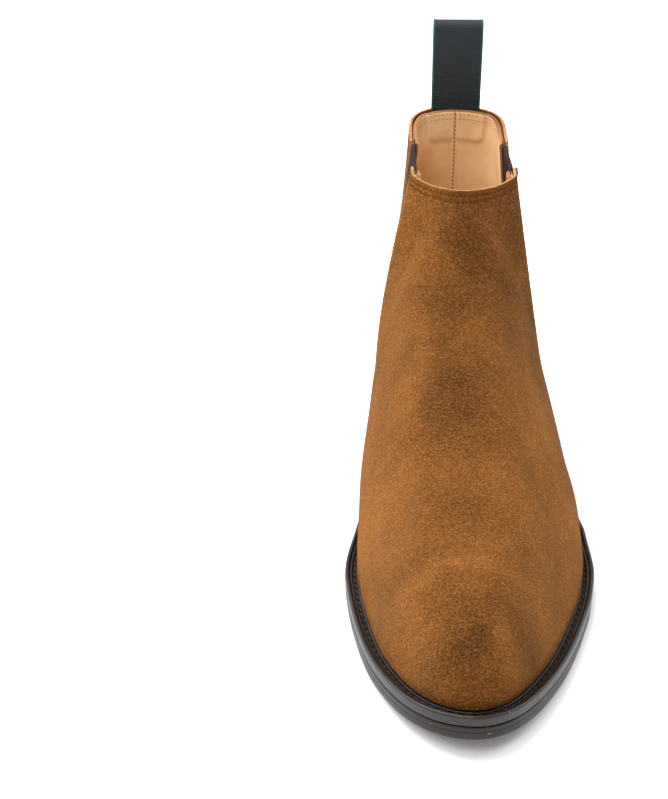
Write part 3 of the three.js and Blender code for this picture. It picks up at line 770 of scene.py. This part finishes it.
def board(name, dark, light, size, roughness=0.85):
    """Pressed board, cork or fibre: grains of a given size."""
    paint = Paint(name, {"Roughness": roughness, "Specular IOR Level": 0.2})
    cells = paint.node("ShaderNodeTexVoronoi", {
        "Vector": paint.place, "Scale": 1 / size,
    }).outputs["Distance"]
    grain = paint.noise(size * 0.5, 3, 0.6)
    colour = paint.mix(paint.between(paint.math("ADD", cells, grain), 0.5, 1.2), dark, light)
    return paint.finish(colour, None, paint.bump(cells, size * 0.3, 0.5))


def steel():
    """Rolled spring steel with fine lengthways scratches."""
    paint = Paint("steel", {"Metallic": 1.0})
    scratches = paint.noise(0.0006, 3, 0.6, 0.0, paint.stretched(1, 0.04, 1))
    colour = paint.mix(scratches, srgb(122, 126, 132), srgb(168, 172, 178))
    rough = paint.node("ShaderNodeMapRange", {
        "Value": scratches, "To Min": 0.28, "To Max": 0.5,
    }).outputs["Result"]
    return paint.finish(colour, rough, paint.bump(scratches, 0.0001, 0.3))


SUEDE_CLOTH = suede()
SUEDE_CUT = suede_edge()
LINING_LEATHER = leather("lining_leather", srgb(234, 186, 132), srgb(250, 210, 160), 0.5, 0.0009)
LINING_CUT = leather("lining_cut", srgb(128, 82, 44), srgb(168, 112, 66), 0.8, 0.0009)
SOCK_LEATHER = leather("sock_leather", srgb(196, 148, 104), srgb(222, 178, 132), 0.5, 0.0009)
ELASTIC = elastic()
WEBBING = webbing()
SOLE_RUBBER = sole_edge()
WELT_RUBBER = rubber("welt_rubber", srgb(16, 10, 7), srgb(27, 19, 15), 0.4)
TREAD_RUBBER = rubber("tread_rubber", srgb(34, 28, 26), srgb(50, 42, 38), 0.6)
STACKED_LEATHER = stacked_leather()
SEAM_THREAD = thread("seam_thread", srgb(70, 38, 18), srgb(108, 64, 32))
LINING_THREAD = thread("lining_thread", srgb(112, 68, 38), srgb(150, 98, 60))
EDGE_THREAD = thread("edge_thread", srgb(158, 110, 70), srgb(196, 146, 98))
WELT_THREAD = thread("welt_thread", srgb(40, 30, 24), srgb(66, 50, 40))
STIFFENER_BOARD = board("stiffener", srgb(186, 168, 132), srgb(214, 198, 164), 0.0016)
INSOLE_FIBRE = board("insole_fibre", srgb(166, 128, 84), srgb(198, 160, 112), 0.0011)
CORK = board("cork", srgb(120, 84, 46), srgb(178, 136, 88), 0.0028, 0.95)
STEEL = steel()

# ---------------------------------------------------------------- upper

# Painted shade (negative) and painted highlight (positive) on the suede, partly the lie of the nap:
# sideways, distance back, reach sideways and along, change.
PAINTED_SHADE_SPOTS = [
    [-2, 17, 13, 9, -0.75],
    [21, 28, 8, 12, -0.35],
    [10, 19, 4, 5, 0.8],
    [0, 46, 24, 6, 0.5],
    [-4, 94, 20, 14, 0.5],
    [-6, 132, 12, 26, -0.7],
    [4, 180, 16, 26, -0.45],
    [27, 195, 12, 40, -0.6],
    [-38, 100, 14, 60, 0.3],
    [40, 110, 14, 50, 0.55],
]
# Shallow dents (negative) and rises of the leather over the toes, in the same order.
RELIEF = [
    [-3, 24, 10, 7, -1.3],
    [10, 18, 4, 6, 1.5],
    [15, 31, 5, 8, 0.9],
    [0, 44, 20, 5, 1.0],
    [2, 64, 22, 7, -0.5],
    [-16, 84, 12, 14, 0.4],
    [20, 92, 14, 16, 0.4],
]
VAMP_ROWS = 135
VAMP_COLUMNS = 151
CORNER_CURL = 1.4  # how far the lateral corner of the topline turns out
CORNER_DROP = 3.2
TOPLINE_ROWS = (2.3, 4.5)  # distances of the stitch rows below the topline
GROOVE_DEPTH = 0.35
GROOVE_REACH = 0.005  # in levels
SKIVED = 0.3  # how much thinner the suede is at its top edge


def soft_spots(spots, x, y):
    total = np.zeros(np.broadcast_shapes(np.shape(x), np.shape(y)))
    for at_x, at_y, reach_x, reach_y, change in spots:
        total += change * np.exp(-(((x - at_x) / reach_x) ** 2) - ((y - at_y) / reach_y) ** 2)
    return total


# painted shade and painted highlight, partly the nap, at each point
def painted_shade_at(points):
    return soft_spots(PAINTED_SHADE_SPOTS, points[:, 0], points[:, 1])


def vamp_span(v):
    edge = seam_turn(v, vamp_rear, -SEAM)
    return -edge, edge


def centre_out(columns):
    """Shares of a span that are spaced evenly over the ridge of the upper."""
    s = np.linspace(-1, 1, columns)
    return (np.sign(s) * np.abs(s) ** 1.12 + 1) / 2


def lower(v_top, distance):
    """Level that lies a distance in millimetres below another."""
    return v_top - distance / LEG_HEIGHT


def stitch_groove(v):
    """The two rows round the topline press a shallow line into the suede."""
    rows = sum(np.exp(-(((v - lower(1, d)) / GROOVE_REACH) ** 2)) for d in TOPLINE_ROWS)
    return GROOVE_DEPTH * rows


def skived(v):
    """The suede is pared thinner towards its top edge."""
    return SUEDE - SKIVED * smooth(0.95, 1.0, v)


def corner_drop(share):
    """The front corners of the topline are rounded off."""
    away = np.minimum(share, 1 - share)
    return CORNER_DROP / LEG_HEIGHT * smooth(0.02, 0, away) ** 2


def corner_curl(v, share):
    """The lateral front corner of the topline turns outwards."""
    return CORNER_CURL * smooth(0.93, 1.0, v) * smooth(0.965, 1.0, share)


def vamp():
    def outer(v, share):
        first, last = vamp_span(v)
        p = face_point(first + (last - first) * share, v)
        dents = soft_spots(RELIEF, p[..., 0], p[..., 1])
        return stitch_groove(v) - dents - corner_curl(v, share)

    def inner(v, share):
        return skived(v) - corner_curl(v, share)

    levels = np.append(even_levels(VAMP_ROWS, 0.004, 0.93), np.linspace(0.933, 1, 30))
    columns = centre_out(VAMP_COLUMNS)
    points, faces, marks = wrapped(levels, vamp_span, columns, outer, inner, corner_drop)
    obj = piece("vamp_suede", points, faces, [SUEDE_CLOTH, SUEDE_CUT], "suede", marks,
                {"painted_shade_and_nap": painted_shade_at(points)})
    return fixed(obj, "vamp")


def lining_outer(v, share):
    """The lining closes up to the suede at the topline, where the two are stitched together."""
    depth = LINING_DEPTH + (LINING_SHUT - LINING_DEPTH) * smooth(0.98, 0.987, v)
    return np.broadcast_to(depth, np.broadcast_shapes(np.shape(v), np.shape(share)))


def vamp_lining():
    levels = np.append(even_levels(70, 0.03, 0.978), [0.98, 0.983, 0.987, 0.99])
    inner = even(LINING_DEPTH + LINING)
    points, faces, marks = wrapped(levels, vamp_span, centre_out(81), lining_outer, inner, corner_drop)
    obj = piece("vamp_lining_leather", points, faces, [LINING_LEATHER, LINING_CUT],
                "lining_leather", marks)
    return fixed(obj, "vamp_lining")


def quarter_span(sign, seam=BACK_SEAM):
    def span(v):
        return sign * seam_turn(v, quarter_front, SEAM), sign * (math.pi - seam) + 0 * v
    return span


def quarter(side, sign):
    def outer(v, share):
        return stitch_groove(v) + 0 * share

    def inner(v, share):
        return skived(v) + 0 * share

    levels = np.append(np.linspace(0.005, 0.93, 80), np.linspace(0.934, 1, 26))
    columns = np.linspace(0, 1, 70)
    points, faces, marks = wrapped(levels, quarter_span(sign), columns, outer, inner)
    obj = piece(f"quarter_suede_{side}", points, faces, [SUEDE_CLOTH, SUEDE_CUT], "suede", marks,
                {"painted_shade_and_nap": painted_shade_at(points)})
    return yielding(obj, f"quarter_{side}")


PATCH_REACH = 0.37  # turn from the back seam to the side of each lobe
PATCH_EDGE = 0.035
PATCH_BOTTOM = 0.876
PATCH_RISE = 1.1
SEAM_LIFT = 0.25


def patch_rise(away, v):
    """How far the lining stands in over the sewn-in ends of the tab: a lobe each side."""
    inside = smooth(PATCH_REACH, PATCH_REACH - PATCH_EDGE, away)
    corner = 0.02 * smooth(0.26, PATCH_REACH, away) + 0.012 * smooth(0.06, 0.01, away)
    bottom = PATCH_BOTTOM + corner
    above = smooth(bottom - 0.012, bottom + 0.012, v)
    return PATCH_RISE * inside * above * smooth(0.004, 0.035, away)


def quarter_lining(side, sign):
    """Rear lining: lifted along the back seam and over the sewn-in ends of the tab."""

    def outer(v, share):
        first, last = quarter_span(sign, LINING_SEAM)(v)
        away = math.pi - np.abs(first + (last - first) * share)
        beside_tab = smooth(0.33, 0.38, away)
        return LINING_DEPTH + (lining_outer(v, share) - LINING_DEPTH) * beside_tab

    def inner(v, share):
        first, last = quarter_span(sign, LINING_SEAM)(v)
        away = math.pi - np.abs(first + (last - first) * share)
        fold = SEAM_LIFT * np.exp(-((away / 0.02) ** 2))
        hollow = 0.2 * np.exp(-(((away - 0.05) / 0.018) ** 2))
        return LINING_DEPTH + LINING + patch_rise(away, v) + fold - hollow

    levels = np.append(np.linspace(0.03, 0.978, 130), [0.98, 0.983, 0.987, 0.994])
    columns = 1 - np.linspace(1, 0, 110) ** 1.5
    points, faces, marks = wrapped(levels, quarter_span(sign, LINING_SEAM), columns, outer, inner)
    obj = piece(f"quarter_lining_leather_{side}", points, faces, [LINING_LEATHER, LINING_CUT],
                "lining_leather", marks)
    return yielding(obj, f"quarter_lining_{side}")


def back_strip():
    def span(v):
        return math.pi - STRIP_TURN + 0 * v, math.pi + STRIP_TURN + 0 * v

    def outer(v, share):
        thin = smooth(0, 0.12, share) * smooth(1, 0.88, share)
        return -GAP - STRIP * (0.55 + 0.45 * thin) + 0 * v

    levels = np.linspace(0.03, 1, 90)
    points, faces, marks = wrapped(levels, span, np.linspace(0, 1, 25), outer, even(-GAP + 0.15))
    obj = piece("back_strip_suede", points, faces, [SUEDE_CLOTH, SUEDE_CUT], "suede", marks,
                {"painted_shade_and_nap": painted_shade_at(points)})
    return yielding(obj, "back_strip")


RIB_PITCH = 1.5
RIB_HEIGHT = 0.16
GORE_FILL = 1.25  # how far the elastic swells out between the two suede edges


def gore(side, sign):
    """Elastic gusset: ribbed, filling the gap between the suede edges, tucked under both."""
    bottom = float(level_of_height(GORE_END, 226.0))

    def span(v):
        return (
            sign * seam_turn(v, vamp_rear, -GORE_OVERLAP),
            sign * seam_turn(v, quarter_front, GORE_OVERLAP),
        )

    def exposed(v, share):
        first, last = span(v)
        p = face_point(first + (last - first) * share, v)
        ahead = p[..., 1] - vamp_rear(p[..., 2])
        behind = quarter_front(p[..., 2]) - p[..., 1]
        return p[..., 1], smooth(0.3, 2.6, ahead) * smooth(0.3, 2.6, behind)

    def outer(v, share):
        y, open_share = exposed(v, share)
        ribs = RIB_HEIGHT * np.cos(2 * math.pi * y / RIB_PITCH)
        return STIFFENER_DEPTH - open_share * (GORE_FILL + ribs)

    levels = np.linspace(bottom, 0.995, 60)
    made = wrapped(levels, span, np.linspace(0, 1, 260), outer, even(STIFFENER_DEPTH + STIFFENER))
    obj = piece(f"gore_elastic_{side}", *made[:2], [ELASTIC], "elastic")
    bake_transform(obj)
    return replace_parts(obj, f"gore_{side}")


def seam_stitches():
    """Rows of stitches on the suede: round the topline, along the elastic and the back strip."""
    fine = {"pitch": 1.75, "length": 1.25, "radius": 0.22}
    front_rows = []
    for distance in TOPLINE_ROWS:
        v = np.full(160, lower(1, distance))
        first, last = vamp_span(v)
        share = np.linspace(0.03, 0.97, 160)
        front_rows.append(on_skin(first + (last - first) * share, v, 0.18, **fine))
    rear_rows = []
    base = float(level_of_height(GORE_BOTTOM + 3, 224.0))
    for sign in (-1, 1):
        v = np.linspace(base, lower(1, 2.4), 120)
        front_rows.append(on_skin(sign * seam_turn(v, vamp_rear, -2.2), v, 0.02, **fine))
        rear_rows.append(on_skin(sign * seam_turn(v, quarter_front, 2.2), v, 0.02, **fine))
        below = np.linspace(0.02, base, 60)
        rear_rows.append(on_skin(sign * seam_turn(below, quarter_front, 2.0), below, 0.02, **fine))
        for distance in TOPLINE_ROWS:
            edge = np.full(60, lower(1, distance))
            first, last = quarter_span(sign)(edge)
            share = np.linspace(0.05, 0.86, 60)
            rear_rows.append(on_skin(first + (last - first) * share, edge, 0.18, **fine))
        v = np.linspace(0.05, 0.985, 120)
        phi = np.full(120, math.pi + sign * STRIP_TURN * 0.8)
        rear_rows.append(on_skin(phi, v, -GAP - STRIP * 0.85, **fine))
    fixed(stitching("stitching_front", front_rows, SEAM_THREAD, "thread"))
    yielding(stitching("stitching_rear", rear_rows, SEAM_THREAD, "thread"))


def lining_stitches():
    """The slanted stitches of the lining's back seam and two rows round its top edge."""
    rows = []
    depth = LINING_DEPTH + LINING
    v = np.linspace(0.3, 0.985, 200)
    seam = on_skin(np.full(200, math.pi), v, depth + SEAM_LIFT, 2.0, 1.5, 0.26, 0.5, True)
    for sign in (-1, 1):
        for distance in (2.6, 4.8):
            edge = np.full(80, lower(1, distance))
            first, last = quarter_span(sign)(edge)
            share = np.linspace(0.04, 0.985, 80)
            phi = first + (last - first) * share
            away = math.pi - np.abs(phi)
            path = skin(phi, edge, depth + patch_rise(away, edge))
            rows.append(stitch_row(path, -outward(phi, edge), 1.9, 1.35, 0.16))
    yielding(stitching("stitching_lining_seam", [seam], LINING_THREAD, "thread"))
    yielding(stitching("stitching_lining_edge", rows, EDGE_THREAD, "thread"))


# ---------------------------------------------------------------- sole unit

OUTLINE_STEPS = 320


def turns(count=OUTLINE_STEPS):
    return np.linspace(0, 2 * math.pi, count, endpoint=False)


def welt():
    low = OUTSOLE + GAP - SOLE_EDGE
    near = CHANNEL_INSET - CHANNEL_WIDTH / 2
    far = CHANNEL_INSET + CHANNEL_WIDTH / 2
    profile = rounded([
        [0.5, low], [0.1, low + 0.4], [0, low + 1.2], [0, RIM_HEIGHT - 0.75],
        [0.45, RIM_HEIGHT], [1.5, RIM_HEIGHT], [2.1, -GAP], [near, -GAP],
        [near, -GAP - CHANNEL_DEPTH], [far, -GAP - CHANNEL_DEPTH], [far, -GAP + 0.15],
        [far + 1.2, -GAP + 0.15], [far + 1.8, -GAP], [WELT_INNER, -GAP], [WELT_INNER, low],
    ], 0.4)
    heights = [above_feather(h) for h in profile[:, 1]]
    rings = outline_grid(turns(), profile[:, 0], heights)
    faces = grid_faces(*rings.shape[:2], wrap_rows=True, wrap_cols=True).reshape(-1, 4)
    obj = piece("welt_strip", rings.reshape(-1, 3), faces, [WELT_RUBBER], "welt_rubber", sharp=60)
    return fixed(obj, "welt")


def welt_stitches():
    t = turns(600)
    height = -GAP - CHANNEL_DEPTH + 0.35
    path = outline_grid(np.append(t, t[0]), [CHANNEL_INSET], [above_feather(height)])[0]
    normals = np.tile([0.0, 0.0, 1.0], (len(path), 1))
    row = stitch_row(path, normals, 4.4, 3.7, 0.42, 0.16)
    return fixed(stitching("welt_stitches", [row], WELT_THREAD, "thread"), "welt_thread")


def outsole():
    edge = [
        (1.5, 0), (0.8, 0.12), (0.4, 0.5), (0.25, 1.1), (0.2, 2.0), (0.15, 3.2),
        (0.18, 3.5), (0.3, 3.7), (0.18, 3.9), (0.15, 4.3), (0.15, 5.4), (0.25, 5.75), (0.5, OUTSOLE),
    ]
    rings = outline_grid(turns(), [e[0] for e in edge], [above_sole(e[1]) for e in edge])
    points, faces = stack(rings)
    rise = np.repeat([e[1] for e in edge], OUTLINE_STEPS)
    obj = piece("outsole_rubber", points, faces, [SOLE_RUBBER], "sole_rubber",
                attributes={"rise": rise}, sharp=60)
    return fixed(obj, "outsole")


def layer_floor(index):
    return TOP_PIECE + GAP + index * (LIFT + GAP)


def heel_rings(insets, heights):
    start = float(round_ends(HEEL_BREAST))
    return outline_grid(np.linspace(start, 2 * math.pi - start, 120), insets, heights)


def heel_layer(name, inset, taper, floor, roof, material, slot, node):
    """One layer of the heel, with its edges eased so that the joints show as fine lines."""
    ease = 0.35

    def at(share, lift):
        return lambda y: floor + share * (roof(y) - floor) + lift

    insets = [inset + taper + ease, inset + taper, inset, inset + ease]
    rings = heel_rings(insets, [at(0, 0), at(0, ease), at(1, -ease), at(1, 0)])
    obj = piece(name, *prism(rings), [material], slot)
    return fixed(obj, node)


def heel():
    def level(z):
        return lambda y: z + 0 * y

    top_inset = HEEL_INSET + 3 * HEEL_TAPER
    heel_layer("top_piece", top_inset, 0.4, 0, level(TOP_PIECE), TREAD_RUBBER, "sole_rubber",
               "heel_top_piece")
    for number in (1, 2, 3):
        floor = layer_floor(3 - number)
        roof = above_sole(-GAP) if number == 1 else level(floor + LIFT)
        inset = HEEL_INSET + (number - 1) * HEEL_TAPER
        heel_layer(f"lift_{number}", inset, HEEL_TAPER, floor, roof, STACKED_LEATHER,
                   "stacked_leather", f"heel_lift_{number}")


def sock():
    low = INSOLE_FLOOR + INSOLE + GAP
    insets = [INSOLE_INSET + 1.2, INSOLE_INSET + 1, INSOLE_INSET + 1.0, INSOLE_INSET + 1.4]
    heights = [above_feather(low + h) for h in (0, 0.3, SOCK - 0.3, SOCK)]
    obj = piece("sock_leather", *stack(outline_grid(turns(240), insets, heights)),
                [SOCK_LEATHER], "lining_leather")
    return fixed(obj, "sock_liner")


# ---------------------------------------------------------------- pull tab


TAB_SUNK = 5  # how far its foot goes down between the suede and the lining


def tab_line(count):
    """Middle of the webbing seen from the side: up in front, over the top and down behind."""
    radius = TAB_GAP / 2 + TAB_PLY / 2
    crown = TAB_HEIGHT - 2.6 - TAB_GAP / 2 - TAB_PLY
    z = np.linspace(-TAB_SUNK, crown, count)
    spread = 0.38 + 0.28 * smooth(-2.5, 1.5, z) + (radius - 0.66) * smooth(0, crown * 0.85, z)
    a = np.linspace(0, math.pi, count // 2 + 2)[1:-1]
    y = np.concatenate([-spread, -radius * np.cos(a), spread[::-1]])
    height = np.concatenate([z, crown + radius * np.sin(a), z[::-1]])
    return np.stack([y, height], -1)


def pull_tab():
    line = tab_line(46)
    along = np.gradient(line, axis=0)
    along /= np.linalg.norm(along, axis=1, keepdims=True)
    out = np.stack([-along[:, 1], along[:, 0]], -1)
    half = TAB_WIDTH / 2
    pressed = 0.58 + 0.42 * smooth(-2.5, 1.5, line[:, 1])[:, None]
    section = rounded([
        [-half, -TAB_PLY / 2], [half, -TAB_PLY / 2], [half, TAB_PLY / 2],
        [half - 1.1, TAB_PLY / 2], [half - 1.5, TAB_PLY / 2 - 0.12],
        [-half + 1.5, TAB_PLY / 2 - 0.12], [-half + 1.1, TAB_PLY / 2], [-half, TAB_PLY / 2],
    ], 0.4)
    n, m = len(line), len(section)
    points = np.zeros((n, m, 3))
    points[..., 0] = section[None, :, 0]
    thick = section[None, :, 1] * pressed
    points[..., 1] = TAB_AXIS_Y + line[:, None, 0] + out[:, None, 0] * thick
    points[..., 2] = TAB_AXIS_Z + line[:, None, 1] + out[:, None, 1] * thick
    faces = grid_faces(n, m, wrap_cols=True).reshape(-1, 4).tolist()
    faces.append(list(range(m)))
    faces.append(list(range((n - 1) * m, n * m)))
    run = np.concatenate([[0], np.cumsum(np.linalg.norm(np.diff(line, axis=0), axis=1))])
    attributes = {
        "across": np.tile(section[:, 0], n),
        "along": np.repeat(run, m),
    }
    obj = piece("tab_webbing", points.reshape(-1, 3), faces, [WEBBING], "webbing",
                attributes=attributes, sharp=60)
    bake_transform(obj)
    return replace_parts(obj, "pull_tab")


# ---------------------------------------------------------------- hidden pieces


def inner_pieces():
    """The CAD pieces that stay as they are, inside the boot, each with its own material."""
    finishes = {
        "bottom_filler": CORK, "shank": STEEL, "insole_board": INSOLE_FIBRE,
        "toe_puff": STIFFENER_BOARD, "tab_anchor": TREAD_RUBBER,
        **{f"heel_nail_{i}": STEEL for i in (1, 2, 3, 4)},
    }
    for name, material in finishes.items():
        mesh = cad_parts[name].data
        mesh.materials.clear()
        mesh.materials.append(material)
    counter = copy_of("heel_counter", "counter_board", STIFFENER_BOARD)
    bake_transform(counter)


# ---------------------------------------------------------------- floor, light, camera

FLOOR_SIZE = 8.0
CAMERA_PLACE = (-0.0409, -0.5785, 0.346)
CAMERA_DOWN = math.radians(25.45)
CAMERA_TURN = math.radians(1.88)
CAMERA_LENS = 65.7
WORLD_LIGHT = 0.5
FLOOR_GLOW = 0.08  # the floor gives off a little light itself, which keeps its shadows pale


def studio_floor():
    mesh = bpy.data.meshes.new("floor")
    half = FLOOR_SIZE / 2
    z = CAD_BOX[0][2] - 0.0003
    corners = [(-half, -half, z), (half, -half, z), (half, half, z), (-half, half, z)]
    mesh.from_pydata(corners, [], [(0, 1, 2, 3)])
    paint = Paint("floor_paper", {"Roughness": 0.9, "Specular IOR Level": 0.1})
    tone = paint.noise(0.4, 2, 0.5)
    paint.shader.inputs["Emission Color"].default_value = (1, 1, 1, 1)
    paint.shader.inputs["Emission Strength"].default_value = FLOOR_GLOW
    colour = paint.mix(tone, (0.93, 0.93, 0.93, 1), (0.95, 0.95, 0.95, 1))
    mesh.materials.append(paint.finish(colour))
    floor = bpy.data.objects.new("floor", mesh)
    bpy.context.scene.collection.objects.link(floor)


def area_light(name, place, aim, size, power, colour=(1, 1, 1)):
    data = bpy.data.lights.new(name, "AREA")
    data.shape = "RECTANGLE"
    data.size, data.size_y = size
    data.energy = power
    data.color = colour
    light = bpy.data.objects.new(name, data)
    light.location = place
    light.rotation_euler = (Vector(aim) - Vector(place)).to_track_quat("-Z", "Y").to_euler()
    bpy.context.scene.collection.objects.link(light)


def studio_light():
    world = bpy.data.worlds.new("studio")
    world.use_nodes = True
    world.node_tree.nodes["Background"].inputs["Color"].default_value = (1, 1, 1, 1)
    world.node_tree.nodes["Background"].inputs["Strength"].default_value = WORLD_LIGHT
    bpy.context.scene.world = world
    middle = (0, 0, 0.08)
    area_light("left_box", (-1.2, 0.25, 0.95), middle, (1.1, 1.3), 15)
    area_light("right_box", (1.2, 0.6, 1.1), middle, (0.8, 0.8), 12)
    area_light("front_box", (-0.5, -1.0, 1.5), middle, (0.8, 0.8), 11)
    area_light("top_box", (-0.4, 0.45, 1.6), middle, (1.4, 1.2), 36)


def studio_camera():
    data = bpy.data.cameras.new("camera")
    data.lens = CAMERA_LENS
    data.clip_start = 0.01
    camera = bpy.data.objects.new("camera", data)
    camera.location = CAMERA_PLACE
    camera.rotation_euler = (math.pi / 2 - CAMERA_DOWN, 0, CAMERA_TURN)
    bpy.context.scene.collection.objects.link(camera)
    bpy.context.scene.camera = camera
    bpy.context.scene.view_settings.view_transform = "Standard"


# ---------------------------------------------------------------- assembly

vamp()
vamp_lining()
back_strip()
for side, sign in (("medial", -1), ("lateral", 1)):
    quarter(side, sign)
    quarter_lining(side, sign)
    gore(side, sign)
seam_stitches()
lining_stitches()
welt()
welt_stitches()
outsole()
heel()
sock()
pull_tab()
inner_pieces()
studio_floor()
studio_light()
studio_camera()
